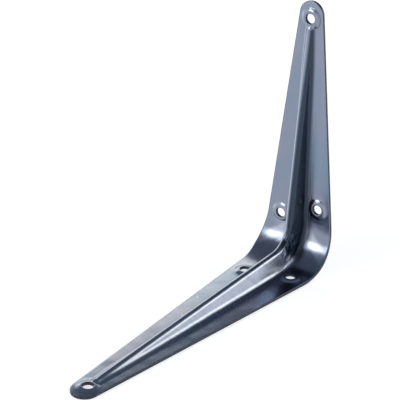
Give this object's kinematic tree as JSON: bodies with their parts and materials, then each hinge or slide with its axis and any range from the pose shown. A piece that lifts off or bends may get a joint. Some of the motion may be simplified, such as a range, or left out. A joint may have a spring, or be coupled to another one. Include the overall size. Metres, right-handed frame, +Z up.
{
  "type": "angle bracket",
  "caption": "Pressed sheet-steel shelf bracket: two tapered legs at a right angle, stiffened by one hollow rib round the inside of the fold, with screw holes in low bosses.",
  "frame": {"origin": "middle of the bounding box's bottom face: on the long leg's outer face plane, midway along the long leg, on the bracket's middle plane", "axes": "+X along the long leg from the fold to its round end, +Z up the upright leg, Y across the bracket"},
  "size_m": [0.125, 0.0296, 0.1],
  "materials": {
    "bright_steel": "bright plated, blue-grey, glossy"
  },
  "bodies": {
    "root": {"bracket": "bright_steel"}
  },
  "joints": []
}
